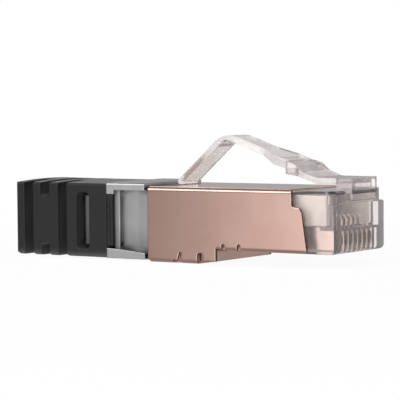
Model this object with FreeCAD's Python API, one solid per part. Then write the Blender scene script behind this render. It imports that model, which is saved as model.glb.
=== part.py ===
import FreeCAD
import Part
import math
import os
from FreeCAD import Vector as V

# Shielded 8P8C (RJ45) modular plug with a hoop latch, crimp ferrule and strain-relief boot.
# Millimetres. X runs along the plug and +X is the mating end, Y is the width, +Z is the latch side.
# Origin: mid-width, on the front datum face of the nose, at the level of the nose's underside.

# ---- shield shell's section, which sets the width of everything else ----
SHEET = 0.3
SHELL_W = 11.68          # outside width
SHELL_TOP = 6.95         # outside level of the top
BEND_R = 0.5             # outside radius of a fold
FIT = 0.04               # clearance of the housing in the shell

# ---- mating nose, to the common interface of this plug ----
NOSE_W = SHELL_W - 2 * (SHEET + FIT)
NOSE_H = 6.8             # underside to the latch-side face of the nose
PITCH = 1.02             # spacing of the contacts
CONTACTS = 8
SLOT_W = 0.56            # slot for one contact
SLOT_TOP = 2.6           # roof of a contact slot
SLOT_LEN = 6.7
CHEEK_W = 1.25           # solid cheek at each side of the front
CHEEK_TOP = 5.45
FACE_BACK = 0.64         # how far the middle of the front is set back between the cheeks
FACE_LOW = 2.75
LOWER_R = 0.6            # rounding of the lower front edge
LONG_R = 0.5             # rounding of the long lower edges
LEAD_BACK = 0.6          # lead-in at the upper front corners
LEAD_IN = 0.9
LEAD_DOWN = 0.55         # slope along the upper front edge
EDGE_R = 0.2             # rounding of small moulded edges

# ---- cavity for the conductors ----
CAV_W = 8.3
CAV_LOW = 2.9
CAV_TOP = 5.6
CAV_FRONT = -1.3
FLOOR_SLIT_END = -1.7
CAV_R = 0.25

# ---- contacts and load bar ----
BLADE_GAP = 0.1          # free space at each side of a blade in its slot
BLADE_LOW = 0.42
BLADE_FRONT = -0.32
BLADE_R = 0.75           # rounded corner that the jack's springs ride up
TINE_1 = -2.75           # piercing tines: the two tips' places along the plug
TINE_2 = -4.85
TINE_HALF = 0.45
TINE_RISE = 1.15         # reach of the tips above the cavity's floor
BAR_FRONT = -7.2
BAR_GAP = 0.05           # clearance of the load bar in the cavity
WIRE_R = 0.5             # conductor holes
ROW_SHIFT = 0.62         # the two rows' distance from the middle

# ---- folded shield shell, along the plug ----
SHELL_REAR = -23.9
STEP_X = -14.84          # where the underside drops to the deeper rear part
REAR_LOW = -1.55         # outside level of the deep underside
TOP_FRONT = -5.06        # front edge of the top and of the sides' upper part
SIDE_FRONT_UP = -3.87    # slanted lower front edge, upper end
SIDE_FRONT_LOW = -3.18   # slanted lower front edge, lower end
SIDE_KNEE = 4.9          # level of the step in the front edge
BELLY_FRONT = -8.7       # front edge of the underside sheet, behind the contacts
TAB_CORNER = 0.3         # cut-off rear corners of the first bent tab
RELIEF_1_REAR = -20.5    # pointed relief between the first and second bent tab
RELIEF_1_KNEE = -19.97
RELIEF_1_TIP = -19.68
RELIEF_1_FRONT = -19.4
RELIEF_2_REAR = -17.28   # blunt relief between the second and third bent tab
RELIEF_2_FRONT = -16.41
RELIEF_TOP = -0.33       # level that both reliefs reach
RELIEF_IN = 0.8          # how far they run in below the fold
LAST_TAB_LOW = -1.2      # the third tab is set higher than the others
TONGUE_REAR = -14.08     # round-topped reliefs each side of the narrow tongue
TONGUE_FRONT = -12.06
TONGUE_RELIEF = 0.48     # width of one of them
TONGUE_TOP = 0.78
FLANGE_T = 0.2           # upturned inner edge of the underside sheet, along each side
FLANGE_TOP = 1.3
FLANGE_REAR_TOP = 0.1

# ---- latch ----
ROOT_W = 5.6             # width of the root block
ROOT_FRONT = 0.75        # how far the root block stands ahead of the datum
ROOT_REAR = -1.2
ROOT_TOP = 8.13
RECESS_EDGE = 0.6        # border round the root block's shallow recess
RECESS_DEEP = 0.4
LATCH_W = 6.04           # wide part with the shoulders
STRAP_W = 3.25
STRAP_T = 0.66           # thickness of the hoop
LATCH_T = 0.7            # thickness of the wide part at its root
PIVOT_X = -1.42          # bend line at the root
SHOULDER_X = -7.7        # catch faces
SHOULDER_LOW = 8.48
SHOULDER_IN = 0.42       # sloped corners of the catch faces
SHOULDER_BACK = 0.55
FLAT_X = -3.7            # rear end of the flat top
RAMP_X = -5.35           # foot of the wedge
RAMP_Z = 8.72
WEDGE_X = -6.36
WEDGE_Z = 9.57
FLARE_X = -9.2           # the strap starts to narrow
NARROW_X = -11.2         # and is down to its own width
LIMB_SLOPE = 0.348       # rise of the front limb towards the rear
LIMB_EXTRA = 0.12        # the front limb is thicker than the leg
CREST_R = 3.0            # outside radius of the hoop's crest
ELBOW_X = -17.5          # bend line of the hoop, behind its crest
ELBOW_DROP = 1.907       # and how far it lies below the front limb's line
FOOT_X = -22.3
FOOT_LIFT = 0.08         # the free foot's clearance over the shell
RUN = 0.02               # clearance round a rounded bend line

# ---- crimp ferrule ----
FER_W = SHELL_W - 2 * FIT
FER_TOP = 7.3
FER_LOW = -1.33
FER_FRONT = -24.4        # front faces of the upper and lower plates
FER_REAR = -29.7
FER_TOP_T = 0.87
FER_TOP_EDGE_R = 0.3
SPIGOT_FRONT = -21.8
COLLAR_REAR = -34.2
COLLAR_W = 8.7
COLLAR_H = 6.3
COLLAR_R = 1.2
TAB_LEN = 1.0            # short tab down each rear corner of the upper plate
TAB_DROP = 0.46
PLATE_REAR = 1.13        # thickness of the lower plate at its rear
PLATE_FRONT = 0.71       # and at its front
RIB_LEN = 1.0            # upright rib between the plates
WAIST_IN = 1.3           # how far the core stands in from the sides
RIB_IN = 0.35            # how far the upright rib stands in
WALL_IN = (0.75, 0.55, 0.35, 0.22, 0.3)   # the swelling side wall, from the rib to the shell
WALL_ROOT = 1.0          # height of its rounded roots on the two plates
SPIGOT_GAP = 0.06        # clearance of the spigot in the shell
MOUTH = 0.9              # flare of the cable passage's front end
AXIS_Z = 2.9             # cable axis
CABLE_R = 3.0            # cable passage
LUG_OUT = 0.75
LUG_REAR = -33.55
LUG_H = 5.7

# ---- boot ----
BOOT_W = SHELL_W
BOOT_TOP = 7.15
BOOT_LOW = -1.33
BOOT_REAR = -42.75
BOOT_R = 0.55            # rounding of the lower edges and of the rear end
BOOT_EDGE = 0.15         # flat along the upper edges
BLOCK_R = 0.25           # rounding of the blocks' corners at the slots
CROWN_REAR = 0.27        # rise of the arched top's middle above its edges, at the boot's two ends
CROWN_FRONT = 0.09
SLOT_R = 0.5             # rounded floors of the upper and lower slot
TUBE_R = 3.6             # outside of the cable tube that shows in the slots
WEB_W = 3.0              # upright web left by a pair of side slots
BRIDGE_LOW = 0.2         # level web left by an upper and lower slot
BRIDGE_TOP = 5.46
SLOT_1 = (-41.6, -40.3)  # side slots
SLOT_2 = (-39.2, -37.9)  # upper and lower slot
SLOT_3 = (-36.65, -35.38)
WIN_REAR = -34.0
WIN_FRONT = -32.12
WIN_LOW = -0.42
WIN_TOP = 6.1
WIN_R = 0.6
LIP = 0.6                # inner lip ahead of the boot's front face
POCKET_GAP = 0.06        # clearance of the ferrule's collar in the boot

os.makedirs("parts", exist_ok=True)


def rounded(points, place):
    """Closed wire through (u, v, corner radius) points; place turns (u, v) into a vector."""
    n = len(points)
    starts, ends, mids = [], [], []
    for i in range(n):
        u, v, r = points[i]
        p = V(u, v, 0)
        a = V(points[i - 1][0], points[i - 1][1], 0) - p
        b = V(points[(i + 1) % n][0], points[(i + 1) % n][1], 0) - p
        a.normalize()
        b.normalize()
        half = math.acos(max(-1.0, min(1.0, a.dot(b)))) / 2
        if r <= 0 or half > math.pi / 2 - 0.002:
            starts.append(p)
            ends.append(p)
            mids.append(None)
            continue
        t = r / math.tan(half)
        c = a + b
        c.normalize()
        c = p + c * (r / math.sin(half))
        m = p - c
        m.normalize()
        starts.append(p + a * t)
        ends.append(p + b * t)
        mids.append(c + m * r)
    edges = []
    for i in range(n):
        if mids[i] is not None:
            arc = [place(q.x, q.y) for q in (starts[i], mids[i], ends[i])]
            edges.append(Part.Arc(*arc).toShape())
        p, q = ends[i], starts[(i + 1) % n]
        if (p - q).Length > 1e-6:
            edges.append(Part.LineSegment(place(p.x, p.y), place(q.x, q.y)).toShape())
    return Part.Wire(edges)


def side_slab(points, y0, y1):
    """Side outline in X and Z, drawn out across the width."""
    wire = rounded(points, lambda u, v: V(u, y0, v))
    return Part.Face(wire).extrude(V(0, y1 - y0, 0))


def plan_slab(points, z0, z1):
    """Plan outline in X and Y, drawn out upwards."""
    wire = rounded(points, lambda u, v: V(u, v, z0))
    return Part.Face(wire).extrude(V(0, 0, z1 - z0))


def front_slab(points, x0, x1):
    """Front outline in Y and Z, drawn out along the plug."""
    wire = rounded(points, lambda u, v: V(x0, u, v))
    return Part.Face(wire).extrude(V(x1 - x0, 0, 0))


def rect(a0, a1, b0, b1, r=0.0):
    return [(a0, b0, r), (a1, b0, r), (a1, b1, r), (a0, b1, r)]


def box(x0, x1, y0, y1, z0, z1):
    return Part.makeBox(x1 - x0, y1 - y0, z1 - z0, V(x0, y0, z0))


def rod(radius, x0, x1):
    return Part.makeCylinder(radius, x1 - x0, V(x0, 0, AXIS_Z), V(1, 0, 0))


def cross_rod(radius, x, z, half):
    return Part.makeCylinder(radius, 2 * half, V(x, -half, z), V(0, 1, 0))


def both_sides(shape):
    return shape.fuse(shape.mirror(V(0, 0, 0), V(0, 1, 0)))


def slot_centres():
    return [(i - (CONTACTS - 1) / 2) * PITCH for i in range(CONTACTS)]


def limb_top(x):
    """Level of the hoop's front limb, which rises in a straight line from the wedge."""
    return WEDGE_Z + LIMB_SLOPE * (WEDGE_X - x)


# ---- values that several pieces share ----
IN_W = SHELL_W / 2 - SHEET                 # half width inside the shell
PIVOT_Z = ROOT_TOP - LATCH_T / 2
FOOT_Z = SHELL_TOP + FOOT_LIFT + STRAP_T / 2
CAV_REAR = STEP_X + 0.2
BODY_REAR = STEP_X - 2 * SHEET
ELBOW_Z = limb_top(ELBOW_X) - ELBOW_DROP
CREST_TOP = ELBOW_Z + STRAP_W / 2


def plug_housing():
    """Clear moulding: nose with contact comb, body inside the shell, and the latch's root block."""
    w = NOSE_W / 2
    lower = [(-w, 0, LONG_R), (w, 0, LONG_R), (w, CHEEK_TOP, 0), (-w, CHEEK_TOP, 0)]
    front = side_slab([(BELLY_FRONT, 0, 0), (0, 0, LOWER_R), (0, CHEEK_TOP, EDGE_R),
                       (BELLY_FRONT, CHEEK_TOP, 0)], -w, w)
    front = front.common(front_slab(lower, BELLY_FRONT, 0.0))
    c, d, e = LEAD_BACK, w - LEAD_IN, EDGE_R
    crown = plan_slab([(TOP_FRONT + FIT, -w, 0), (-c, -w, e), (-0.1, -d, e), (-0.1, d, e),
                       (-c, w, e), (TOP_FRONT + FIT, w, 0)], CHEEK_TOP - 0.01, NOSE_H)
    crown = crown.common(side_slab([(TOP_FRONT, 0, 0), (c, 0, 0), (c, NOSE_H - LEAD_DOWN * 1.3, 0),
                                    (-c / 2, NOSE_H, e), (TOP_FRONT, NOSE_H, 0)], -w, w))
    # body inside the shell
    f = SHEET + FIT
    body = front_slab(rect(-w, w, f, SHELL_TOP - f, BEND_R - SHEET), BODY_REAR, BLADE_FRONT)
    body = body.cut(box(TOP_FRONT + FIT, ROOT_FRONT, -SHELL_W, SHELL_W, CHEEK_TOP, ROOT_TOP))
    room = box(BODY_REAR - 1, BELLY_FRONT - SHEET + FIT, w - FLANGE_T, w + 1, 0, FLANGE_TOP + FIT)
    body = body.cut(both_sides(room))
    shape = front.fuse([crown, body])
    # root block of the latch, with its shallow recess and the seat of the bend line
    h = ROOT_W / 2
    block = side_slab([(ROOT_REAR, CHEEK_TOP + 0.1, 0), (ROOT_FRONT, CHEEK_TOP + 0.1, 2 * e),
                       (ROOT_FRONT, ROOT_TOP, e), (ROOT_REAR, ROOT_TOP, 0)], -h, h)
    block = block.common(plan_slab([(ROOT_REAR, -h, 0), (ROOT_FRONT, -h, 1.5 * e),
                                    (ROOT_FRONT, h, 1.5 * e), (ROOT_REAR, h, 0)], 0.0, ROOT_TOP + 1))
    recess = front_slab(rect(-h + RECESS_EDGE, h - RECESS_EDGE, NOSE_H, ROOT_TOP - 0.4 * RECESS_EDGE,
                             EDGE_R / 2), ROOT_FRONT - RECESS_DEEP, ROOT_FRONT + 1)
    shape = shape.fuse(block.cut(recess))
    shape = shape.cut(cross_rod(LATCH_T / 2 + RUN, PIVOT_X, PIVOT_Z, LATCH_W))
    # middle of the front set back between the cheeks
    g = w - CHEEK_W
    shape = shape.cut(box(-FACE_BACK, ROOT_FRONT, -g, g, FACE_LOW, CHEEK_TOP - EDGE_R / 2))
    # conductor cavity, open to the rear
    shape = shape.cut(front_slab(rect(-CAV_W / 2, CAV_W / 2, CAV_LOW, CAV_TOP, CAV_R),
                                 BODY_REAR - 1, CAV_FRONT))
    # contact comb: open below and in front, with a slit through the cavity's floor
    for y in slot_centres():
        comb = side_slab([(-SLOT_LEN, -1, 0), (1, -1, 0), (1, SLOT_TOP - FACE_BACK / 2, 0),
                          (-FACE_BACK, SLOT_TOP, e), (-SLOT_LEN, SLOT_TOP, e)],
                         y - SLOT_W / 2, y + SLOT_W / 2)
        slit = box(TINE_2 - 2 * TINE_HALF, FLOOR_SLIT_END, y - SLOT_W / 2, y + SLOT_W / 2,
                   SLOT_TOP / 2, CAV_LOW + 0.1)
        shape = shape.cut(comb).cut(slit)
    return shape.removeSplitter()


def contact(y):
    """Blade with a rounded lower front corner and two piercing tines."""
    t = SLOT_W / 2 - BLADE_GAP
    top = SLOT_TOP - 0.05
    rear, nose, low = -SLOT_LEN + 0.15, BLADE_FRONT, BLADE_LOW
    tip = CAV_LOW + TINE_RISE
    root = tip - TINE_HALF
    pts = [(rear, 1.3 * low, 0), (nose, low, BLADE_R), (nose, top - 0.5, EDGE_R),
           (nose - 0.6, top, 0), (TINE_1 + TINE_HALF, top, 0)]
    for x in (TINE_1, TINE_2):
        pts += [(x + TINE_HALF, root, 0), (x, tip, 0), (x - TINE_HALF, root, 0)]
        if x == TINE_1:
            mid = (TINE_1 + TINE_2) / 2
            pts += [(mid + 0.35, CAV_LOW + 0.1, 0), (mid - 0.35, CAV_LOW + 0.1, 0)]
    pts += [(TINE_2 - TINE_HALF, top, 0), (rear, top, 0)]
    return side_slab(pts, y - t, y + t)


def load_bar():
    """Holder that keeps the eight conductors in two staggered rows."""
    rear, front = CAV_REAR + 0.6, BAR_FRONT
    w = CAV_W / 2 - BAR_GAP
    low, top = CAV_LOW + BAR_GAP, CAV_TOP - BAR_GAP
    bar = front_slab(rect(-w, w, low, top, CAV_R), rear, front)
    middle = (low + top) / 2
    for i, y in enumerate(slot_centres()):
        z = middle + (ROW_SHIFT if i % 2 else -ROW_SHIFT)
        hole = Part.makeCylinder(WIRE_R, front - rear + 2, V(rear - 1, y, z), V(1, 0, 0))
        bar = bar.cut(hole)
    # thumb notch in the rear edge
    notch = box(rear - 0.01, rear + 1.6, -WIRE_R, WIRE_R, top - 0.35, top + 0.01)
    return bar.cut(notch)


def ring(x0, x1, low, top):
    """Length of folded tube with rounded folds, of sheet thickness."""
    w = SHELL_W / 2
    outer = front_slab(rect(-w, w, low, top, BEND_R), x0, x1)
    s = SHEET
    inner = front_slab(rect(-w + s, w - s, low + s, top - s, BEND_R - s), x0 - 1, x1 + 1)
    return outer.cut(inner)


def shield_shell():
    """Folded sheet round the housing, with bent tabs under its deep rear part."""
    w = SHELL_W / 2
    rear = ring(SHELL_REAR, STEP_X, REAR_LOW, SHELL_TOP)
    fore = ring(STEP_X - SHEET, SIDE_FRONT_LOW, 0.0, SHELL_TOP)
    fore = fore.cut(box(STEP_X - 1, STEP_X, -w - 1, w + 1, -1, SHELL_TOP / 2))
    # front edge of the sides: upright above, a rounded step, then a slant
    edge = side_slab([(SHELL_REAR - 1, REAR_LOW - 1, 0), (SIDE_FRONT_LOW, REAR_LOW - 1, 0),
                      (SIDE_FRONT_LOW, 0.05, 0), (SIDE_FRONT_UP, SIDE_KNEE, 2 * SHEET),
                      (TOP_FRONT, SIDE_KNEE + SHEET / 2, 1.5 * SHEET), (TOP_FRONT, SHELL_TOP, BEND_R),
                      (SHELL_REAR - 1, SHELL_TOP, 0)], -w - 1, w + 1)
    c = BEND_R
    low_corner = side_slab([(SIDE_FRONT_LOW - c, -0.2, 0), (SIDE_FRONT_LOW + c, -0.2, 0),
                            (SIDE_FRONT_LOW + c, c, 0)], -w - 1, w + 1)
    shell = rear.fuse(fore).common(edge).cut(low_corner)
    # the underside sheet ends behind the contacts
    shell = shell.cut(box(BELLY_FRONT, 0, -w + SHEET, w - SHEET, -1, 1))
    belly_lip = box(BELLY_FRONT, 0, -w - 1, w + 1, -1, 0.0)
    shell = shell.cut(belly_lip)
    # step wall between the two undersides
    wall = box(STEP_X - SHEET, STEP_X, -w + SHEET, w - SHEET, LAST_TAB_LOW, SHEET)
    shell = shell.fuse(wall)
    # reliefs that part the bent tabs, and the raised last tab
    under = REAR_LOW - 1
    relief_1 = side_slab([(RELIEF_1_REAR, under, 0), (RELIEF_1_FRONT, under, 0),
                          (RELIEF_1_FRONT, RELIEF_TOP, 0), (RELIEF_1_TIP, RELIEF_TOP, 0),
                          (RELIEF_1_KNEE, LAST_TAB_LOW, 0.1), (RELIEF_1_REAR, LAST_TAB_LOW, 0.1)],
                         -w - 1, w + 1)
    relief_2 = side_slab([(RELIEF_2_REAR, under, 0), (RELIEF_2_FRONT, under, 0),
                          (RELIEF_2_FRONT, RELIEF_TOP, 0.25), (RELIEF_2_REAR, RELIEF_TOP, 0.25)],
                         -w - 1, w + 1)
    c = TAB_CORNER
    corner = side_slab([(SHELL_REAR - 1, under, 0), (SHELL_REAR + c, under, 0),
                        (SHELL_REAR + c, REAR_LOW, 0), (SHELL_REAR, REAR_LOW + c, 0),
                        (SHELL_REAR - 1, REAR_LOW + c, 0)], -w - 1, w + 1)
    inside = w - RELIEF_IN
    keep = box(SHELL_REAR - 1, STEP_X + 1, -inside, inside, under, SHELL_TOP)
    raised = box(RELIEF_2_FRONT, STEP_X + 0.001, -w - 1, w + 1, under, LAST_TAB_LOW)
    raised = raised.fuse(box(RELIEF_2_REAR, STEP_X + 0.001, -inside, inside, under, LAST_TAB_LOW))
    shell = shell.cut(relief_1.cut(keep)).cut(relief_2.cut(keep)).cut(raised).cut(corner)
    floor = box(RELIEF_2_REAR, STEP_X, -inside, inside, LAST_TAB_LOW, LAST_TAB_LOW + SHEET)
    tab = box(RELIEF_2_FRONT, STEP_X, -w + SHEET, w - SHEET, LAST_TAB_LOW, LAST_TAB_LOW + SHEET)
    jog = box(RELIEF_2_REAR - SHEET, RELIEF_2_REAR, -inside, inside, REAR_LOW, LAST_TAB_LOW + SHEET)
    shell = shell.fuse([floor, tab, jog])
    # the third tab's rear end curves inwards behind its relief
    bend = RELIEF_2_FRONT - RELIEF_2_REAR - RUN
    pole = Part.makeCylinder(bend, RELIEF_TOP - LAST_TAB_LOW, V(RELIEF_2_FRONT, -w + bend, LAST_TAB_LOW))
    hollow = Part.makeCylinder(bend - SHEET, RELIEF_TOP - LAST_TAB_LOW,
                               V(RELIEF_2_FRONT, -w + bend, LAST_TAB_LOW))
    ear = pole.cut(hollow).common(box(RELIEF_2_REAR, RELIEF_2_FRONT + 0.01, -w, -w + bend,
                                      under, SHELL_TOP))
    shell = shell.fuse(both_sides(ear))
    # two round-topped reliefs beside the narrow tongue at each side
    r = TONGUE_RELIEF / 2
    for x in (TONGUE_REAR + r, TONGUE_FRONT + r):
        cut = side_slab(rect(x - r, x + r, -1, TONGUE_TOP, 0.98 * r), -w - 1, w + 1)
        keep = box(x - 1, x + 1, -inside, inside, -2, 2)
        shell = shell.cut(cut.cut(keep))
    # the underside sheets turn up a little way inside the sides
    a = IN_W - FLANGE_T
    fore = box(STEP_X - SHEET, BELLY_FRONT - SHEET, a, IN_W + 0.01, 0.1, FLANGE_TOP)
    deep = box(RELIEF_1_REAR - 1, STEP_X - SHEET + 0.01, a, IN_W + 0.01, REAR_LOW + SHEET - 0.01,
               FLANGE_REAR_TOP)
    shell = shell.fuse([both_sides(fore), both_sides(deep)])
    return shell.removeSplitter()


def latch_lever():
    """Wide sprung part with catch shoulders and wedge, and the hoop's front limb and crest."""
    h = LATCH_W / 2
    t = LATCH_T / 2
    top, low = PIVOT_Z + t, PIVOT_Z - t
    under = RAMP_Z - LATCH_T * 0.7
    wide = side_slab([(PIVOT_X, low, 0), (PIVOT_X, top, 0), (FLAT_X, top, 1.5),
                      (RAMP_X, RAMP_Z, EDGE_R), (WEDGE_X, WEDGE_Z, EDGE_R),
                      (SHOULDER_X, limb_top(SHOULDER_X) - 0.1, 0.1), (SHOULDER_X, SHOULDER_LOW, 0.1),
                      (RAMP_X - LATCH_T * 0.8, under, 0.8), (FLAT_X + EDGE_R, low, 1.2)], -h, h)
    face, c = SHOULDER_X + SHOULDER_BACK, h - SHOULDER_IN
    wide = wide.common(plan_slab([(0, -h, 0), (face, -h, 0), (SHOULDER_X, -c, 0), (SHOULDER_X, c, 0),
                                  (face, h, 0), (0, h, 0)], 0, 2 * CREST_TOP))
    wide = wide.fuse(cross_rod(t, PIVOT_X, PIVOT_Z, h))
    # front limb, crest and the start of the rear leg, as one bent strap
    dx, dz = ELBOW_X - FOOT_X, ELBOW_Z - FOOT_Z
    run = math.hypot(dx, dz)
    ux, uz = dx / run, dz / run
    nx, nz = -uz, ux
    s = STRAP_T / 2
    out_a = (ELBOW_X + nx * s, ELBOW_Z + nz * s)
    in_a = (ELBOW_X - nx * s, ELBOW_Z - nz * s)

    def meet(px, pz, lift):
        """Point where the leg's line through px, pz meets the limb's line lowered by lift."""
        k = (limb_top(px) - lift - pz) / (uz + LIMB_SLOPE * ux)
        return (px + ux * k, pz + uz * k)

    out_c = meet(out_a[0], out_a[1], 0.0)
    thick = STRAP_T + LIMB_EXTRA
    in_c = meet(in_a[0], in_a[1], thick)
    root = SHOULDER_X + SHOULDER_IN
    web = (SHOULDER_LOW + limb_top(SHOULDER_X)) / 2 - EDGE_R
    limb = side_slab([(root, limb_top(root), 0), (out_c[0], out_c[1], CREST_R),
                      (out_a[0], out_a[1], 0), (in_a[0], in_a[1], 0), (in_c[0], in_c[1], 0.7),
                      (NARROW_X, limb_top(NARROW_X) - thick, 2.0),
                      (FLARE_X, limb_top(FLARE_X) - 1.4 * thick, 0.8), (SHOULDER_X, web, 0),
                      (root, web, 0)], -h, h)
    # plan of the strap: narrow, then flared into the wide part
    b = STRAP_W / 2
    limb = limb.common(plan_slab([(ELBOW_X - STRAP_W, -b, 0), (NARROW_X, -b, 1.2), (FLARE_X, -c, 1.0),
                                  (root, -c, 0), (root, c, 0), (FLARE_X, c, 1.0),
                                  (NARROW_X, b, 1.2), (ELBOW_X - STRAP_W, b, 0)], 0, 2 * CREST_TOP))
    limb = limb.cut(cross_rod(s + RUN, ELBOW_X, ELBOW_Z, h))
    return wide.fuse(limb).removeSplitter()


def latch_leg():
    """Rear leg of the hoop, from the bend behind the crest to its rounded free foot."""
    dx, dz = ELBOW_X - FOOT_X, ELBOW_Z - FOOT_Z
    run = math.hypot(dx, dz)
    nx, nz = -dz / run * STRAP_T / 2, dx / run * STRAP_T / 2
    b = STRAP_W / 2
    leg = side_slab([(ELBOW_X + nx, ELBOW_Z + nz, 0), (FOOT_X + nx, FOOT_Z + nz, 0),
                     (FOOT_X - nx, FOOT_Z - nz, 0), (ELBOW_X - nx, ELBOW_Z - nz, 0)], -b, b)
    ends = [cross_rod(STRAP_T / 2, ELBOW_X, ELBOW_Z, b), cross_rod(STRAP_T / 2, FOOT_X, FOOT_Z, b)]
    return leg.fuse(ends).removeSplitter()


def side_wall(x0, x1, w):
    """Block between the ferrule's plates: its two sides swell and spread into the plates."""
    top = FER_TOP - FER_TOP_T + 0.02
    fall = (PLATE_REAR - PLATE_FRONT) / (FER_FRONT - FER_REAR - TAB_LEN)
    sections = []
    for i, inset in enumerate(WALL_IN):
        x = x0 + (x1 - x0) * i / (len(WALL_IN) - 1)
        low = FER_LOW + PLATE_REAR - fall * (x - FER_REAR - TAB_LEN) - 0.05
        a, r = w - inset, WALL_ROOT
        half = [(w, top, a, top - r), (a, low + r, w, low)]
        edges = []
        for side in (1, -1):
            (y0, z0, y1, z1), (y2, z2, y3, z3) = half
            k = 0.29
            upper = [(y0, z0), (y1 + k * (y0 - y1), z0 + (1 - k) * 0.5 * (z1 - z0)), (y1, z1)]
            lower = [(y2, z2), (y2 + k * (y3 - y2), z3 + (1 - k) * 0.5 * (z2 - z3)), (y3, z3)]
            bits = [Part.Arc(*[V(x, side * y, z) for y, z in upper]).toShape(),
                    Part.LineSegment(V(x, side * y1, z1), V(x, side * y2, z2)).toShape(),
                    Part.Arc(*[V(x, side * y, z) for y, z in lower]).toShape()]
            edges.append(bits)
        right, left = edges
        floor = Part.LineSegment(V(x, w, low), V(x, -w, low)).toShape()
        roof = Part.LineSegment(V(x, -w, top), V(x, w, top)).toShape()
        sections.append(Part.Wire(right + [floor] + left[::-1] + [roof]))
    return Part.makeLoft(sections, True, False)


def crimp_ferrule():
    """Cast ferrule: collar inside the boot, waisted middle with two plates, spigot in the shell."""
    w = FER_W / 2
    c, d = COLLAR_W / 2, COLLAR_H / 2
    collar = front_slab(rect(-c, c, AXIS_Z - d, AXIS_Z + d, COLLAR_R),
                        COLLAR_REAR, FER_REAR + 1.5 * LIP)
    # snap lugs with rounded rear edges, one in each window of the boot
    lug_front = WIN_FRONT - POCKET_GAP
    lug = plan_slab([(LUG_REAR, -c + 0.2, 0), (LUG_REAR, -c - LUG_OUT, 0.6 * LUG_OUT),
                     (lug_front, -c - LUG_OUT, 0.1), (lug_front, -c + 0.2, 0)],
                    AXIS_Z - LUG_H / 2, AXIS_Z + LUG_H / 2)
    # upper plate, with a short tab down each rear corner, and lower plate
    e = FER_TOP_EDGE_R
    under = FER_TOP - FER_TOP_T
    upper = front_slab([(-w, under, 0), (w, under, 0), (w, FER_TOP, e), (-w, FER_TOP, e)],
                       FER_REAR, FER_FRONT)
    upper = upper.fuse(box(FER_REAR, FER_REAR + TAB_LEN, -w, w, under - TAB_DROP, under + 0.1))
    lower = side_slab([(FER_REAR, FER_LOW, 0), (FER_FRONT, FER_LOW, 0),
                       (FER_FRONT, FER_LOW + PLATE_FRONT, 0),
                       (FER_REAR + 2 * TAB_LEN, FER_LOW + PLATE_REAR - e / 3, 1.0),
                       (FER_REAR, FER_LOW + PLATE_REAR, 0)], -w, w)
    # middle between the plates: an upright rib, then a side wall that swells and has rounded roots
    low, top = FER_LOW + PLATE_FRONT, under + e / 2
    rib_0 = FER_REAR + LIP + RUN
    rib_1 = rib_0 + RIB_LEN
    rib = plan_slab([(rib_0, -w + 3 * e, 0), (rib_0, -w + RIB_IN, 1.5 * e), (rib_1, -w + RIB_IN, e / 3),
                     (rib_1, -w + 3 * e, 0)], low - 0.1, top)
    wall = side_wall(rib_1, SHELL_REAR - RUN, w - 0.05)
    core = box(rib_0, FER_FRONT, -w + WAIST_IN, w - WAIST_IN, low - 0.1, top)
    p = SHEET + SPIGOT_GAP
    a = IN_W - SPIGOT_GAP
    spigot = front_slab(rect(-a, a, REAR_LOW + p, SHELL_TOP - p, BEND_R), SHELL_REAR + RUN, SPIGOT_FRONT)
    neck = front_slab(rect(-w + WAIST_IN, w - WAIST_IN, REAR_LOW + p + e, SHELL_TOP - p - e / 3, BEND_R),
                      FER_FRONT - e, SHELL_REAR + 0.1)
    parts = [both_sides(lug), upper, lower, both_sides(rib), wall, core, spigot, neck]
    shape = collar.fuse(parts)
    shape = shape.cut(rod(CABLE_R, COLLAR_REAR - 1, SPIGOT_FRONT + 1))
    deep = 1.5 * MOUTH
    mouth = Part.makeCone(CABLE_R, CABLE_R + MOUTH, deep, V(SPIGOT_FRONT - deep + 0.01, 0, AXIS_Z),
                          V(1, 0, 0))
    return shape.cut(mouth).removeSplitter()


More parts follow.
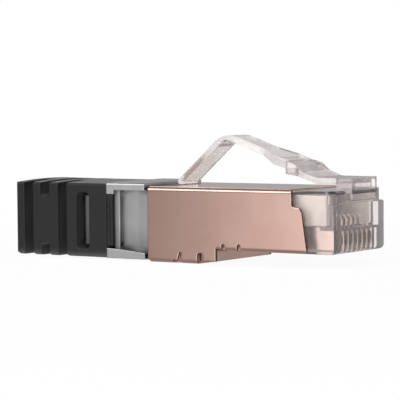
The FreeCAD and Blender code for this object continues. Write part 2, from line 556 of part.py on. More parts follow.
def boot():
    """Strain-relief boot: slots cut in turn from the sides and from above and below."""
    w = BOOT_W / 2
    front = FER_REAR - 0.02
    e = w - BOOT_EDGE
    sections = []
    for x, rise in ((BOOT_REAR, CROWN_REAR), (front, CROWN_FRONT)):
        arch = (0, BOOT_TOP + 2 * rise, 0.98 * e * e / (2 * rise))
        outline = [(-w, BOOT_LOW, BOOT_R), (w, BOOT_LOW, BOOT_R), (w, BOOT_TOP - BOOT_EDGE, 0),
                   (e, BOOT_TOP, 0), arch, (-e, BOOT_TOP, 0), (-w, BOOT_TOP - BOOT_EDGE, 0)]
        sections.append(rounded(outline, lambda u, v, x=x: V(x, u, v)))
    shape = Part.makeLoft(sections, True, True)
    top = BOOT_TOP + CROWN_REAR
    tail = plan_slab([(BOOT_REAR, -w, EDGE_R), (front, -w, 0), (front, w, 0), (BOOT_REAR, w, EDGE_R)],
                     BOOT_LOW - 1, BOOT_TOP + 1)
    # side slots leave three blocks with softened corners, on an upright web and the cable tube
    tube = rod(TUBE_R, BOOT_REAR, WIN_REAR)
    ends = [(BOOT_REAR, BOOT_R, SLOT_1[0], BLOCK_R), (SLOT_1[1], BLOCK_R, SLOT_3[0], BLOCK_R),
            (SLOT_3[1], BLOCK_R, front, 0)]
    blocks = [side_slab([(x0, BOOT_LOW, r0), (x1, BOOT_LOW, r1), (x1, top, r1), (x0, top, r0)],
                        -w, w) for x0, r0, x1, r1 in ends]
    web = side_slab([(BOOT_REAR, BOOT_LOW, BOOT_R), (front, BOOT_LOW, 0), (front, top, 0),
                     (BOOT_REAR, top, BOOT_R)], -WEB_W / 2, WEB_W / 2)
    shape = shape.common(tail).common(web.fuse(blocks + [tube]))
    x0, x1 = SLOT_2
    for z0, z1 in ((BRIDGE_TOP, BOOT_TOP + 1), (BRIDGE_LOW, BOOT_LOW - 1)):
        slot = side_slab([(x0, z0, SLOT_R), (x1, z0, SLOT_R), (x1, z1, 0), (x0, z1, 0)], -w - 1, w + 1)
        shape = shape.cut(slot.cut(tube))
    # inner lip that runs on ahead of the front face, below the ferrule's tabs
    lip_top = FER_TOP - FER_TOP_T - TAB_DROP - 0.04
    lip_w = w - LIP * 0.6
    lip = front_slab(rect(-lip_w, lip_w, FER_LOW + PLATE_REAR + 0.2, lip_top, LIP / 2),
                     front - LIP, front + LIP)
    shape = shape.fuse(lip)
    # cable bore, pocket for the ferrule's collar, and the windows for its lugs
    shape = shape.cut(rod(CABLE_R, BOOT_REAR - 1, COLLAR_REAR))
    cone = Part.makeCone(CABLE_R + LIP / 2, CABLE_R, LIP, V(BOOT_REAR - 0.01, 0, AXIS_Z), V(1, 0, 0))
    g = POCKET_GAP
    a, b = COLLAR_W / 2 + g, COLLAR_H / 2 + g
    pocket = front_slab(rect(-a, a, AXIS_Z - b, AXIS_Z + b, COLLAR_R + g),
                        COLLAR_REAR - g, front + LIP + 1)
    window = side_slab(rect(WIN_REAR, WIN_FRONT, WIN_LOW, WIN_TOP, WIN_R), -w - 1, w + 1)
    shape = shape.cut(cone).cut(pocket).cut(window)
    return shape.removeSplitter()


PIECES = {
    "plug_housing": plug_housing(),
    "latch_lever": latch_lever(),
    "latch_leg": latch_leg(),
    "load_bar": load_bar(),
    "shield_shell": shield_shell(),
    "crimp_ferrule": crimp_ferrule(),
    "strain_relief_boot": boot(),
}
for n, y in enumerate(slot_centres(), 1):
    PIECES["contact_%d" % n] = contact(y)

for name, shape in PIECES.items():
    shape.exportStep("parts/%s.step" % name)
    b = shape.BoundBox
    print("%-20s solids %d valid %s vol %.2f  x %.2f..%.2f y %.2f..%.2f z %.2f..%.2f" % (
        name, len(shape.Solids), shape.isValid(), shape.Volume,
        b.XMin, b.XMax, b.YMin, b.YMax, b.ZMin, b.ZMax))
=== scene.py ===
import bpy
import bmesh
import math
from mathutils import Matrix, Vector


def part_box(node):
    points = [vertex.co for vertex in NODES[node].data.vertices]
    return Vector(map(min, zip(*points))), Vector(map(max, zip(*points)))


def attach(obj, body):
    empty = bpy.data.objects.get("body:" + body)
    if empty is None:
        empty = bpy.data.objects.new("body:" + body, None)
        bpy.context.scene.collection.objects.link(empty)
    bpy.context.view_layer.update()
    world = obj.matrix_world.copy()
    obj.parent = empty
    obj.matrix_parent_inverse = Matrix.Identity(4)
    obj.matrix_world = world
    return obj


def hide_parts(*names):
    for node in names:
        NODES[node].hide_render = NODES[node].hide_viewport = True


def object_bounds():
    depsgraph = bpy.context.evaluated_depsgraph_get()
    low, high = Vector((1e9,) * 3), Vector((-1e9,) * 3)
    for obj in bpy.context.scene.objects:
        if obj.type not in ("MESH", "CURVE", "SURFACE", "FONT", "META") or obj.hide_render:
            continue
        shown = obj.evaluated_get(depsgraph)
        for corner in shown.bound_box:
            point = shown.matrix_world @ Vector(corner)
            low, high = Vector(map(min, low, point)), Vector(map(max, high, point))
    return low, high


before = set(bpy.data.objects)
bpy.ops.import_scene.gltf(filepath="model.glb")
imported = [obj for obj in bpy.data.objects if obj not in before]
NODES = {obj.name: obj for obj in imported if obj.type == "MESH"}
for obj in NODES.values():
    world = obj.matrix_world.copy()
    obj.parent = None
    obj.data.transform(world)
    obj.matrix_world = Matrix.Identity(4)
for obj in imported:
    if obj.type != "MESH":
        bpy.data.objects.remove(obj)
cad_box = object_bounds()
MM = 0.001
SHARP = math.radians(28)         # a real corner turns more than this
SQUARE = math.radians(60)        # an edge that gets a bevel turns more than this

# Contact comb, in millimetres
PITCH = 1.02             # spacing of the blades
BLADES = 8
BLADE_T = 0.36           # thickness of a blade
BURNISH = 0.04           # rounding that blanking leaves on a blade's edges
NOSE_R = 0.75            # rounded lower front corner
NOSE_STEPS = 8
SHOULDER = (0.6, 0.5)    # chamfer of the upper front corner, along and up
SHELF = 2.11             # height where the tines begin
TINES = (2.43, 4.53)     # from the front to each tip
TINE_HALF = 0.45         # half width of a tine, and the height of its point
BRIDGE = (3.13, 3.83)    # from the front to the ends of the raised land between the tines
HEEL = 0.12              # how much higher the rear lower corner is

# Conductor cavity and its wire guide, in millimetres
CAV_SIDE = 4.15          # half width of the cavity
CAV_FRONT = -1.3         # its front end
CAV_ROOF = 5.6           # its roof in the solid model
ROOF_BAND = 0.27         # points this far below the roof rise with it, such as its fillets
ROOF_LIFT = 0.75         # how much nearer the roof comes to the skin
RAIL_T = 0.3             # rails of the guide, between the cavity's wall and the outer blades
RAIL_FRONT = -1.45
RAIL_ROOT = 0.5          # how far a rail starts inside the bar
RAIL_EDGE = 0.08
NEAR = 0.01              # tolerance when points are picked
MERGE = 0.001            # distance under which points are one

# Patterns of the finishes, in millimetres. Real lines and grains are a few hundredths wide: they
# are drawn as coarse as they need to be to show
ROLLING_LINES = 0.12     # spacing on the folded sheet
BLANK_LINES = 0.1        # spacing on the blades
CAST_GRAIN = 0.18
SPARK_GRAIN = 0.16       # skin that a spark-eroded mould leaves on the boot
FLOW_MARKS = 3.0         # in the clear mouldings
SHEET_CLOUDS, ZINC_CLOUDS, BOOT_CLOUDS = 6.0, 3.0, 4.0     # slow changes of tone

# Shaders
FINE = 0.55              # weight of each finer octave of a pattern
POLYCARBONATE_IOR = 1.585
SHADOW = 0.08            # how dense the shadow of clear and milky plastic is
WAYS, EDGE_WAYS = 8, 6   # rays that look for corners, and for edges

# Studio and camera
LAMP_DISTANCE = 0.4      # metres from the plug's middle
LAMP_SIZE = 0.3          # metres
FLOOR_GAP = 0.01         # millimetres below the plug
VIEW_AZIMUTH, VIEW_ELEVATION, VIEW_ROLL = 33.79, 3.02, -0.51     # degrees
VIEW_DISTANCE = 0.2316   # metres from the aim
VIEW_AIM = (0.28, 0, -0.34)      # millimetres from the plug's middle
LENS, SENSOR = 183.05, 36.0      # millimetres
CLEAR_BOUNCES = 24       # light crosses both walls, the comb of slots and the hoop
GLOSSY_BOUNCES = 8


# ---------------------------------------------------------------- nodes

def tint(code):
    """sRGB hex to the linear colour that the shaders take."""
    parts = [int(code[i:i + 2], 16) / 255 for i in (1, 3, 5)]
    return [c / 12.92 if c <= 0.04045 else ((c + 0.055) / 1.055) ** 2.4 for c in parts] + [1.0]


def add(tree, kind, links=(), **settings):
    """One node. Settings name its properties or its sockets, and links are (socket, source).

    A source is an output, a node, which gives its first output, or a plain value.
    """
    node = tree.nodes.new(kind)
    for key, value in settings.items():
        socket = node.inputs.get(key.replace("_", " "))
        if socket is None:
            setattr(node, key, value)
        else:
            socket.default_value = value
    for socket, source in links:
        if isinstance(source, bpy.types.Node):
            source = source.outputs[0]
        if isinstance(source, bpy.types.NodeSocket):
            tree.links.new(source, node.inputs[socket])
        else:
            node.inputs[socket].default_value = source
    return node


def patch(tree, edges, total=1.0, blend="LINEAR"):
    """Soft-edged patch: the total times every edge.

    An edge is (source, start, end, low, high): it goes from low to high as its source goes from
    start to end.
    """
    for source, start, end, low, high in edges:
        edge = add(tree, "ShaderNodeMapRange", [("Value", source)], From_Min=start, From_Max=end,
                   To_Min=low, To_Max=high, interpolation_type=blend)
        total = add(tree, "ShaderNodeMath", [(0, total), (1, edge)], operation="MULTIPLY")
    return total


def two_tone(tree, source, first, second, start=0.0, end=1.0):
    """Colour that turns from the first to the second as the source goes from start to end."""
    turn = add(tree, "ShaderNodeMapRange", [("Value", source)], From_Min=start, From_Max=end)
    mixed = add(tree, "ShaderNodeMix", [(0, turn), (6, first), (7, second)], data_type="RGBA")
    return mixed.outputs[2]


# ---------------------------------------------------------------- materials

def material(name):
    """An empty material, its tree, and the place on the piece that its patterns follow."""
    made = bpy.data.materials.new(name)
    made.use_nodes = True
    tree = made.node_tree
    tree.nodes.clear()
    return made, tree, add(tree, "ShaderNodeTexCoord").outputs["Object"]


def surface(tree, colour, pattern, gloss, height, strength, edge, alpha=1.0, volume=(),
            **settings):
    """The shader of a material, whose pattern sets its gloss and its relief.

    Gloss is the roughness at the pattern's low and high. Height and edge are in millimetres, and
    the edge is the radius at which sharp edges catch the light.
    """
    rough = add(tree, "ShaderNodeMapRange", [("Value", pattern)], To_Min=gloss[0], To_Max=gloss[1])
    links = [("Height", pattern)]
    if edge:
        worn = add(tree, "ShaderNodeBevel", samples=EDGE_WAYS, Radius=edge * MM)
        links.append(("Normal", worn))
    skin = add(tree, "ShaderNodeBump", links, Strength=strength, Distance=height * MM)
    links = [("Base Color", colour), ("Roughness", rough), ("Alpha", alpha), ("Normal", skin)]
    shader = add(tree, "ShaderNodeBsdfPrincipled", links, **settings)
    add(tree, "ShaderNodeOutputMaterial", [("Surface", shader), *volume])


def clear_polycarbonate(name, colour, clear, rough, edge, absorption, rim=None, veil=1.0):
    """Clear polycarbonate, injection moulded: glossy, faint flow marks, greyer where it is thick.

    The rim is a darker colour painted at a glancing view, a painted shade that draws the outline
    of a thin moulding. The veil is how closed its skin is at a straight view. The absorption is per
    metre.
    """
    made, tree, place = material(name)
    drawn = add(tree, "ShaderNodeMapping", [("Vector", place)], Scale=(0.35, 1, 1))
    flow = add(tree, "ShaderNodeTexNoise", [("Vector", drawn)], Scale=1 / (FLOW_MARKS * MM),
               Detail=1.0, Roughness=FINE)
    face = tint(colour)
    facing = add(tree, "ShaderNodeLayerWeight", Blend=0.35).outputs["Facing"]
    # painted shade: the colour darkens towards the rim at a glancing view
    if rim:
        face = two_tone(tree, facing, face, tint(rim), 0.35, 0.85)
    # light passes to what lies inside
    shadow = add(tree, "ShaderNodeLightPath").outputs["Is Shadow Ray"]
    skin = patch(tree, [(shadow, 0.0, 1.0, 1.0, SHADOW)])
    if veil < 1.0:
        skin = patch(tree, [(facing, 0.0, 1.0, veil, 1.0)], skin)
    depth = add(tree, "ShaderNodeVolumeAbsorption", Color=tint("#d6d0cf"), Density=absorption)
    surface(tree, face, flow, gloss=(rough * 0.8, rough * 1.2), height=0.01, strength=0.2,
            edge=edge, alpha=skin, volume=[("Volume", depth)], IOR=POLYCARBONATE_IOR,
            Transmission_Weight=clear)
    return made


def natural_polycarbonate():
    """Uncoloured polycarbonate, injection moulded with a matt skin: milky, with painted mauve shade
    inside.

    Its enclosed inner faces are painted a mauve shade, standing in for the shade and the rose
    reflection of the sheet round them.
    """
    made, tree, place = material("polycarbonate_natural_moulded")
    drawn = add(tree, "ShaderNodeMapping", [("Vector", place)], Scale=(0.35, 1, 1))
    flow = add(tree, "ShaderNodeTexNoise", [("Vector", drawn)], Scale=1 / (FLOW_MARKS * MM),
               Detail=1.0, Roughness=FINE)
    # painted shade: the more enclosed a face, the more it turns from cream to mauve
    way = add(tree, "ShaderNodeAmbientOcclusion", samples=WAYS, only_local=True, Distance=9.0 * MM)
    face = two_tone(tree, way.outputs["AO"], tint("#8c7470"), tint("#fffaf0"), 0.55, 0.95)
    shadow = add(tree, "ShaderNodeLightPath").outputs["Is Shadow Ray"]
    surface(tree, face, flow, gloss=(0.4, 0.6), height=0.01, strength=0.2, edge=0.06,
            alpha=patch(tree, [(shadow, 0.0, 1.0, 1.0, SHADOW)]), IOR=POLYCARBONATE_IOR,
            Transmission_Weight=0.25)
    return made


def copper_plated_sheet():
    """Copper-plated brass sheet, folded: rose satin mirror with fine rolling lines."""
    made, tree, place = material("copper_plated_sheet_folded")
    drawn = add(tree, "ShaderNodeMapping", [("Vector", place)], Scale=(0.04, 1, 1))
    lines = add(tree, "ShaderNodeTexNoise", [("Vector", drawn)], Scale=1 / (ROLLING_LINES * MM),
                Detail=2.0, Roughness=FINE)
    cloud = add(tree, "ShaderNodeTexNoise", [("Vector", place)], Scale=1 / (SHEET_CLOUDS * MM),
                Detail=2.0, Roughness=FINE)
    rose = two_tone(tree, cloud, tint("#dfb7a9"), tint("#e8c2b5"), 0.3, 0.7)
    # painted shade: slots and inner corners are painted dark brown
    way = add(tree, "ShaderNodeAmbientOcclusion", samples=WAYS, only_local=True, Distance=0.5 * MM)
    sheet_unshaded = patch(tree, [(way.outputs["AO"], 0.25, 0.8, 0.0, 1.0)])
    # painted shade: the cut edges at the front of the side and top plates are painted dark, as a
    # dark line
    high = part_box("shield_shell")[1]
    normal = add(tree, "ShaderNodeNewGeometry").outputs["True Normal"]
    ahead = add(tree, "ShaderNodeSeparateXYZ", [("Vector", normal)]).outputs["X"]
    spot = add(tree, "ShaderNodeSeparateXYZ", [("Vector", place)]).outputs
    aside = add(tree, "ShaderNodeMath", [(0, spot["Y"])], operation="ABSOLUTE")
    sides = patch(tree, [(aside, high.y - 0.4 * MM, high.y - 0.3 * MM, 0.0, 1.0)])
    top = patch(tree, [(spot["Z"], high.z - 0.4 * MM, high.z - 0.3 * MM, 0.0, 0.6)])
    plates = add(tree, "ShaderNodeMath", [(0, sides), (1, top)], operation="MAXIMUM")
    cut = patch(tree, [(ahead, 0.2, 0.5, 0.0, 1.0)], plates)
    whole = patch(tree, [(cut, 0.0, 1.0, 1.0, 0.0)])
    sheet_unshaded = add(tree, "ShaderNodeMath", [(0, sheet_unshaded), (1, whole)], operation="MINIMUM")
    # painted shade: dark brown in the slots, the inner corners and along the front cut edges
    surface(tree, two_tone(tree, sheet_unshaded, tint("#5a463a"), rose), lines, gloss=(0.08, 0.12),
            height=0.001, strength=0.1, edge=0.16, Metallic=1.0)
    return made


def cast_zinc():
    """Zinc die casting, tumbled and nickel plated: satin grey with a fine cast skin.

    The recesses between the plates are painted darker towards the boot, towards the folded sheet,
    towards the bottom and where their rounded roots face up: painted shade. The outer faces are
    painted a little darker low down and darker where they face up, a painted shade too.
    """
    made, tree, place = material("zinc_die_cast_satin")
    grain = add(tree, "ShaderNodeTexNoise", [("Vector", place)], Scale=1 / (CAST_GRAIN * MM),
                Detail=4.0, Roughness=FINE)
    cloud = add(tree, "ShaderNodeTexNoise", [("Vector", place)], Scale=1 / (ZINC_CLOUDS * MM),
                Detail=3.0, Roughness=FINE)
    grey = two_tone(tree, cloud, tint("#e6e6e6"), tint("#efefef"), 0.3, 0.7)
    low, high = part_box("crimp_ferrule")
    boot_end, sheet_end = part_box("strain_relief_boot")[1].x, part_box("shield_shell")[0].x
    length = sheet_end - boot_end
    x, y, z = add(tree, "ShaderNodeSeparateXYZ", [("Vector", place)]).outputs
    normal = place.node.outputs["Normal"]
    upward = add(tree, "ShaderNodeSeparateXYZ", [("Vector", normal)]).outputs["Z"]
    aside = add(tree, "ShaderNodeMath", [(0, y)], operation="ABSOLUTE")
    # 1 on the waisted walls between the plates, 0 on faces as far out as the plates' edges
    recess = patch(tree, [(aside, high.y - 0.05 * MM, high.y - 0.02 * MM, 1.0, 0.0),
                          (z, high.z - 0.6 * MM, high.z - 0.5 * MM, 1.0, 0.0),
                          (z, low.z + 0.1 * MM, low.z + 0.2 * MM, 0.0, 1.0)])
    # painted shade: the walls darken towards the boot, towards the bottom, towards the folded
    # sheet, and where they face up
    walls = patch(tree, [(x, boot_end + 0.02 * length, boot_end + 0.4 * length, 0.22, 1.0),
                         (z, low.z + 1.5 * MM, low.z + 4.0 * MM, 0.7, 1.0),
                         (x, boot_end + 0.66 * length, boot_end + 0.95 * length, 1.0, 0.35),
                         (upward, 0.03, 0.35, 1.0, 0.16)], recess)
    # painted shade: the outer faces are a little darker low down, and darker where they face up
    faces = patch(tree, [(recess, 0.0, 1.0, 1.0, 0.0),
                         (z, low.z + 1.5 * MM, low.z + 2.5 * MM, 0.69, 0.76),
                         (upward, 0.5, 0.8, 1.0, 0.4)])
    bright = add(tree, "ShaderNodeMath", [(0, walls), (1, faces)], operation="ADD")
    # painted shade: corners are darkened, but less so near the upper plate
    way = add(tree, "ShaderNodeAmbientOcclusion", samples=WAYS, only_local=True, Distance=2.2 * MM)
    corner = patch(tree, [(way.outputs["AO"], 0.3, 0.8, 0.3, 1.0)])
    upper = patch(tree, [(z, high.z - 2.4 * MM, high.z - 1.2 * MM, 0.0, 0.75)])
    corner = add(tree, "ShaderNodeMath", [(0, corner), (1, upper)], operation="MAXIMUM")
    bright = add(tree, "ShaderNodeMath", [(0, bright), (1, corner)], operation="MULTIPLY")
    # painted shade: the dark grey that the shaded places turn towards
    surface(tree, two_tone(tree, bright, tint("#1c1c1c"), grey), grain, gloss=(0.32, 0.42),
            height=0.004, strength=0.2, edge=0.15, Metallic=1.0)
    return made


def boot_elastomer():
    """Thermoplastic elastomer from a spark-eroded mould: soft black with a low, broken sheen."""
    made, tree, place = material("thermoplastic_elastomer_moulded")
    grain = add(tree, "ShaderNodeTexNoise", [("Vector", place)], Scale=1 / (SPARK_GRAIN * MM),
                Detail=4.0, Roughness=FINE)
    cloud = add(tree, "ShaderNodeTexNoise", [("Vector", place)], Scale=1 / (BOOT_CLOUDS * MM),
                Detail=3.0, Roughness=FINE)
    black = two_tone(tree, cloud, tint("#161617"), tint("#1b1b1c"), 0.3, 0.7)
    # a grey bloom stays in the flex slots
    # painted light: the flex slots and other enclosed places are painted paler grey, so they don't
    # fall to black
    way = add(tree, "ShaderNodeAmbientOcclusion", samples=WAYS, Distance=2.5 * MM)
    face = two_tone(tree, way.outputs["AO"], tint("#505050"), black, 0.3, 0.75)
    surface(tree, face, grain, gloss=(0.27, 0.37), height=0.006, strength=0.3, edge=0.15, IOR=1.5)
    return made


def plated_blade():
    """Phosphor bronze, blanked and gold plated: bright rose-gold, paler on the flat sides."""
    made, tree, place = material("phosphor_bronze_gold_plated")
    drawn = add(tree, "ShaderNodeMapping", [("Vector", place)], Scale=(0.1, 1, 1))
    lines = add(tree, "ShaderNodeTexNoise", [("Vector", drawn)], Scale=1 / (BLANK_LINES * MM),
                Detail=2.0, Roughness=FINE)
    rose = two_tone(tree, lines, tint("#f0ddd4"), tint("#f7e8e0"), 0.3, 0.7)
    normal = place.node.outputs["Normal"]
    sideways = add(tree, "ShaderNodeSeparateXYZ", [("Vector", normal)]).outputs["Y"]
    side = add(tree, "ShaderNodeMath", [(0, sideways), (1, sideways)], operation="MULTIPLY")
    surface(tree, two_tone(tree, side, tint("#faf6f2"), rose), lines, gloss=(0.14, 0.24),
            height=0.002, strength=0.2, edge=0, Metallic=1.0)
    return made


# at 250 per metre a block of 6 mm passes a little under three fifths of the light
CLEAR = clear_polycarbonate("polycarbonate_clear_moulded", "#f8f2f1", clear=0.93, rough=0.06,
                            edge=0.06, absorption=250.0, veil=0.82)
THIN = clear_polycarbonate("polycarbonate_clear_thin_strap", "#f6f3f1", clear=0.95, rough=0.16,
                           edge=0.04, absorption=120.0, rim="#b6aeab")
HOLDER = natural_polycarbonate()
SHEET = copper_plated_sheet()
ZINC = cast_zinc()
SOFT = boot_elastomer()
BLADE = plated_blade()

FINISH = {"plug_housing": CLEAR, "latch_lever": THIN, "latch_leg": THIN, "load_bar": HOLDER,
          "shield_shell": SHEET, "crimp_ferrule": ZINC, "strain_relief_boot": SOFT}
for name, node in NODES.items():
    node.data.materials.clear()
    node.data.materials.append(FINISH.get(name, BLADE))


# ---------------------------------------------------------------- housing and wire guide

def linked(name, data):
    """A new object in the scene, at the origin."""
    made = bpy.data.objects.new(name, data)
    bpy.context.scene.collection.objects.link(made)
    return made


def merged(node):
    """A merged copy of a CAD node's mesh, open for editing."""
    copy = NODES[node].data.copy()
    copy.attributes.remove(copy.attributes["custom_normal"])
    edit = bmesh.new()
    edit.from_mesh(copy)
    bpy.data.meshes.remove(copy)
    bmesh.ops.remove_doubles(edit, verts=edit.verts, dist=MERGE * MM)
    return edit


def piece(edit, name, node, finish):
    """The edited mesh as a piece that stands for a node: smooth but for its real corners."""
    for face in edit.faces:
        face.smooth = True
    for edge in edit.edges:
        edge.smooth = len(edge.link_faces) == 2 and edge.calc_face_angle(0) < SHARP
    mesh = bpy.data.meshes.new(name)
    edit.to_mesh(mesh)
    edit.free()
    mesh.materials.append(finish)
    made = linked(name, mesh)
    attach(made, "plug")
    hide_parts(node)


def lift_roof(edit, top):
    """Raise the flat roof at the top given, and its fillets, behind the cavity's front end."""
    for vert in edit.verts:
        x, y, z = vert.co / MM
        if (abs(y) < CAV_SIDE + NEAR and x < CAV_FRONT + NEAR
                and top - ROOF_BAND < z < top + NEAR):
            vert.co.z += ROOF_LIFT * MM


def nose_housing():
    """The clear moulding, with a thinner roof over the conductor cavity."""
    edit = merged("plug_housing")
    lift_roof(edit, CAV_ROOF)
    piece(edit, "nose_housing", "plug_housing", CLEAR)


def wire_guide():
    """The load bar under that roof, with a thin rail along each wall to the front of the cavity."""
    edit = merged("load_bar")
    low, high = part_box("load_bar")
    lift_roof(edit, high.z / MM)
    for side in (-1, 1):
        outer = side * high.y
        inner = outer - side * RAIL_T * MM
        corners = [Vector((x, y, z)) for x in (high.x - RAIL_ROOT * MM, RAIL_FRONT * MM)
                   for y in (min(inner, outer), max(inner, outer))
                   for z in (low.z, high.z + ROOF_LIFT * MM)]
        rail = bmesh.ops.convex_hull(edit, input=[edit.verts.new(c) for c in corners])["geom"]
        edges = [e for e in rail if isinstance(e, bmesh.types.BMEdge)
                 and e.calc_face_angle(0) > SQUARE]
        bmesh.ops.bevel(edit, geom=edges, offset=RAIL_EDGE * MM, segments=2, profile=0.5,
                        affect="EDGES")
    piece(edit, "wire_guide", "load_bar", HOLDER)


nose_housing()
wire_guide()


# ---------------------------------------------------------------- contact comb

def blade_mesh(low, high):
    """One blade: the blanked outline with its rounded nose and two tines, burnished all round."""
    x0, z0, x1, z1 = low.x, low.z, high.x, high.z
    shelf = z0 + SHELF * MM
    half = TINE_HALF * MM

    def tine(tip):
        return [(tip + half, shelf), (tip + half, z1 - half), (tip, z1), (tip - half, z1 - half)]

    outline = []
    for step in range(NOSE_STEPS + 1):
        turn = math.radians(-90 + 90 * step / NOSE_STEPS)
        outline.append((x1 + (math.cos(turn) - 1) * NOSE_R * MM,
                        z0 + (math.sin(turn) + 1) * NOSE_R * MM))
    outline += [(x1, shelf - SHOULDER[1] * MM), (x1 - SHOULDER[0] * MM, shelf)]
    front, rear = (x1 - tip * MM for tip in TINES)
    outline += tine(front) + [(x1 - end * MM, shelf + half) for end in BRIDGE] + tine(rear)
    outline += [(rear - half, shelf), (x0, shelf), (x0, z0 + HEEL * MM)]
    mesh = bpy.data.meshes.new("contact_blade")
    edit = bmesh.new()
    half_t = BLADE_T * MM / 2
    face = edit.faces.new([edit.verts.new((x, -half_t, z)) for x, z in outline])
    drawn = bmesh.ops.extrude_face_region(edit, geom=[face])
    moved = [v for v in drawn["geom"] if isinstance(v, bmesh.types.BMVert)]
    bmesh.ops.translate(edit, verts=moved, vec=(0, 2 * half_t, 0))
    bmesh.ops.recalc_face_normals(edit, faces=edit.faces)
    rim = [e for e in edit.edges if len(e.link_faces) == 2 and e.calc_face_angle() > SQUARE
           and abs(e.verts[0].co.y - e.verts[1].co.y) < half_t]
    bmesh.ops.bevel(edit, geom=rim, offset=BURNISH * MM, segments=2, profile=0.5, affect="EDGES")
    edit.to_mesh(mesh)
    edit.free()
    return mesh


def comb_tree():
    """Blade repeated in a row across the plug, made one plain mesh."""
    tree = bpy.data.node_groups.new("contact_comb", "GeometryNodeTree")
    for name, way, kind in (("Geometry", "INPUT", "Geometry"), ("Blades", "INPUT", "Int"),
                            ("Pitch", "INPUT", "Float"), ("First blade", "INPUT", "Vector"),
                            ("Plating", "INPUT", "Material"), ("Geometry", "OUTPUT", "Geometry")):
        tree.interface.new_socket(name, in_out=way, socket_type="NodeSocket" + kind)
    given = add(tree, "NodeGroupInput").outputs
    step = add(tree, "ShaderNodeCombineXYZ", [("Y", given["Pitch"])])
    row = add(tree, "GeometryNodeMeshLine",
              [("Count", given["Blades"]), ("Start Location", given["First blade"]),
               ("Offset", step)], mode="OFFSET")
    comb = add(tree, "GeometryNodeInstanceOnPoints",
               [("Points", row), ("Instance", given["Geometry"])])
    real = add(tree, "GeometryNodeRealizeInstances", [("Geometry", comb)])
    plated = add(tree, "GeometryNodeSetMaterial",
                 [("Geometry", real), ("Material", given["Plating"])])
    add(tree, "NodeGroupOutput", [("Geometry", plated)])
    return tree


def contact_comb():
    """The eight blades, from one blade and a row whose sizes are named inputs."""
    low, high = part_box("contact_1")
    seed = linked("contact_blade_seed", blade_mesh(low, high))
    row = seed.modifiers.new("contact_comb", "NODES")
    row.node_group = comb_tree()
    first = (0.0, (low.y + high.y) / 2, 0.0)
    values = {"Blades": BLADES, "Pitch": PITCH * MM, "First blade": first, "Plating": BLADE}
    for socket in row.node_group.interface.items_tree:
        if socket.in_out == "INPUT" and socket.name in values:
            row[socket.identifier] = values[socket.name]
    bpy.context.view_layer.update()
    shape = seed.evaluated_get(bpy.context.evaluated_depsgraph_get())
    mesh = bpy.data.meshes.new_from_object(shape)
    bpy.data.objects.remove(seed)
    mesh.name = "contact_comb"
    mesh.materials.clear()
    mesh.materials.append(BLADE)
    comb = linked("contact_comb", mesh)
    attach(comb, "plug")
    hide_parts(*["contact_%d" % n for n in range(1, BLADES + 1)])


contact_comb()


# ---------------------------------------------------------------- studio

lo, hi = cad_box
centre = (lo + hi) / 2
span = (hi - lo).length


def towards(azimuth, elevation):
    """Direction from the plug to an azimuth and an elevation, in degrees."""
    a, e = math.radians(azimuth), math.radians(elevation)
    return Vector((math.sin(a) * math.cos(e), -math.cos(a) * math.cos(e), math.sin(e)))


def studio_floor():
    """Pale floor that only the camera sees: a faint soft shadow, and plain white further off."""
    mesh = bpy.data.meshes.new("studio_floor")
    edit = bmesh.new()
    bmesh.ops.create_grid(edit, x_segments=1, y_segments=1, size=60 * span)
    bmesh.ops.translate(edit, verts=edit.verts, vec=(centre.x, centre.y, lo.z - FLOOR_GAP * MM))
    edit.to_mesh(mesh)
    edit.free()
    made, tree, place = material("studio_floor_paper")
    mesh.materials.append(made)
    far = add(tree, "ShaderNodeVectorMath", [("Vector", place)], operation="LENGTH")
    white = patch(tree, [(far.outputs["Value"], 0.8 * span, 2.4 * span, 0.94, 1.0)],
                  blend="SMOOTHSTEP")
    paper = add(tree, "ShaderNodeBsdfDiffuse", Color=tint("#f6f6f6"))
    glow = add(tree, "ShaderNodeEmission", Color=tint("#ffffff"), Strength=1.0)
    seen = add(tree, "ShaderNodeMixShader", [("Fac", white), (1, paper), (2, glow)])
    hole = add(tree, "ShaderNodeBsdfTransparent")
    camera_ray = add(tree, "ShaderNodeLightPath").outputs["Is Camera Ray"]
    plain = add(tree, "ShaderNodeMixShader", [("Fac", camera_ray), (1, hole), (2, seen)])
    add(tree, "ShaderNodeOutputMaterial", [("Surface", plain)])
    linked("studio_floor", mesh)


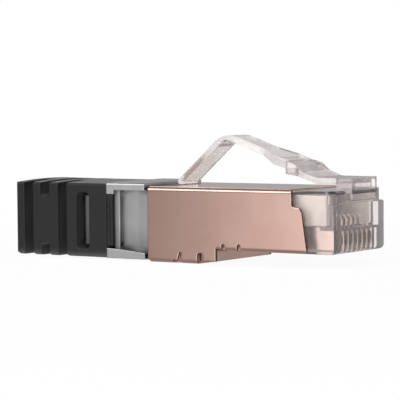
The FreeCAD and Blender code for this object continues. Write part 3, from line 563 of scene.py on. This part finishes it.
def studio_world():
    """White to the camera; round the plug a grey room with broad soft panels, by direction only."""
    world = bpy.data.worlds.new("studio_world")
    bpy.context.scene.world = world
    world.use_nodes = True
    tree = world.node_tree
    tree.nodes.clear()
    way = add(tree, "ShaderNodeTexCoord").outputs["Generated"]
    x, y, z = add(tree, "ShaderNodeSeparateXYZ", [("Vector", way)]).outputs
    rise = add(tree, "ShaderNodeMath", [(0, z)], operation="ARCSINE")
    back = add(tree, "ShaderNodeMath", [(0, y), (1, -1.0)], operation="MULTIPLY")
    turn = add(tree, "ShaderNodeMath", [(0, x), (1, back)], operation="ARCTAN2")
    around = add(tree, "ShaderNodeMath", [(0, turn)], operation="ABSOLUTE")

    def panel(across, sides, heights, soft, strength):
        """Panel between two azimuths and two elevations, in degrees, with soft edges."""
        edges = []
        for source, ends, margin in ((across, sides, soft[0]), (rise, heights, soft[1])):
            for end, low, high in ((ends[0], 0.0, 1.0), (ends[1], 1.0, 0.0)):
                edges.append((source, math.radians(end - margin), math.radians(end + margin),
                              low, high))
        return patch(tree, edges, strength, "SMOOTHSTEP")

    room = patch(tree, [(rise, math.radians(-10), math.radians(20), 0.33, 0.24)],
                 blend="SMOOTHSTEP")
    front = panel(turn, (-32.3, 75.0), (-40.0, 6.0), (4.3, 4.0), 0.88)
    key = panel(turn, (-58.0, -15.0), (20.0, 42.0), (6.0, 4.0), 2.6)
    rear = panel(turn, (-168.0, -130.0), (24.0, 48.0), (4.0, 4.0), 1.9)
    backdrop = panel(around, (95.0, 190.0), (-60.0, 45.0), (15.0, 12.0), 1.0)
    path = add(tree, "ShaderNodeLightPath").outputs
    mirror_ray, clear_ray = path["Is Glossy Ray"], path["Is Transmission Ray"]
    # through clear plastic no panel looks brighter than the background
    cap = patch(tree, [(clear_ray, 0.0, 1.0, 9.0, 1.0)])
    # metal mirrors the background dimly, and clear plastic shows it whole
    dim = add(tree, "ShaderNodeMath", [(0, mirror_ray), (1, 0.42)], operation="MULTIPLY")
    seen = add(tree, "ShaderNodeMath", [(0, dim), (1, clear_ray)], operation="MAXIMUM")
    backdrop = add(tree, "ShaderNodeMath", [(0, backdrop), (1, seen)], operation="MULTIPLY")
    rear = add(tree, "ShaderNodeMath", [(0, rear), (1, mirror_ray)], operation="MULTIPLY")
    light = room
    for operation, source in (("ADD", front), ("ADD", key), ("MINIMUM", cap),
                              ("MAXIMUM", backdrop), ("MAXIMUM", path["Is Camera Ray"]),
                              ("MAXIMUM", rear)):
        light = add(tree, "ShaderNodeMath", [(0, light), (1, source)], operation=operation)
    lit = add(tree, "ShaderNodeBackground", [("Strength", light)], Color=tint("#ffffff"))
    add(tree, "ShaderNodeOutputWorld", [("Surface", lit)])


def softbox(name, azimuth, elevation, watts):
    """Square area lamp that faces the plug from an azimuth and an elevation, in degrees."""
    back = towards(azimuth, elevation)
    lamp = bpy.data.lights.new(name, "AREA")
    lamp.size, lamp.energy = LAMP_SIZE, watts
    made = linked(name, lamp)
    made.location = centre + back * LAMP_DISTANCE
    made.rotation_euler = (-back).to_track_quat("-Z", "Y").to_euler()
    return made


studio_floor()
studio_world()
softbox("overhead_softbox", azimuth=-10, elevation=70, watts=0.8)
softbox("front_fill", azimuth=-5, elevation=10, watts=0.75).visible_glossy = False


def camera():
    """Long lens, a little above the plug's level, that looks at its side and nose."""
    a, r = math.radians(VIEW_AZIMUTH), math.radians(VIEW_ROLL)
    back = towards(VIEW_AZIMUTH, VIEW_ELEVATION)
    right = Vector((math.cos(a), math.sin(a), 0))
    up = back.cross(right)
    side = right * math.cos(r) + up * math.sin(r)
    top = up * math.cos(r) - right * math.sin(r)
    lens = bpy.data.cameras.new("plug_camera")
    lens.sensor_width, lens.lens = SENSOR, LENS
    lens.clip_start, lens.clip_end = 0.01, 20.0
    made = linked("plug_camera", lens)
    aim = centre + Vector(VIEW_AIM) * MM
    turn = Matrix((side, top, back)).transposed().to_4x4()
    made.matrix_world = Matrix.Translation(aim + back * VIEW_DISTANCE) @ turn
    bpy.context.scene.camera = made


camera()
bpy.context.scene.cycles.max_bounces = CLEAR_BOUNCES
bpy.context.scene.cycles.transmission_bounces = CLEAR_BOUNCES
bpy.context.scene.cycles.glossy_bounces = GLOSSY_BOUNCES
bpy.context.scene.cycles.transparent_max_bounces = CLEAR_BOUNCES
bpy.context.scene.view_settings.view_transform = "Standard"
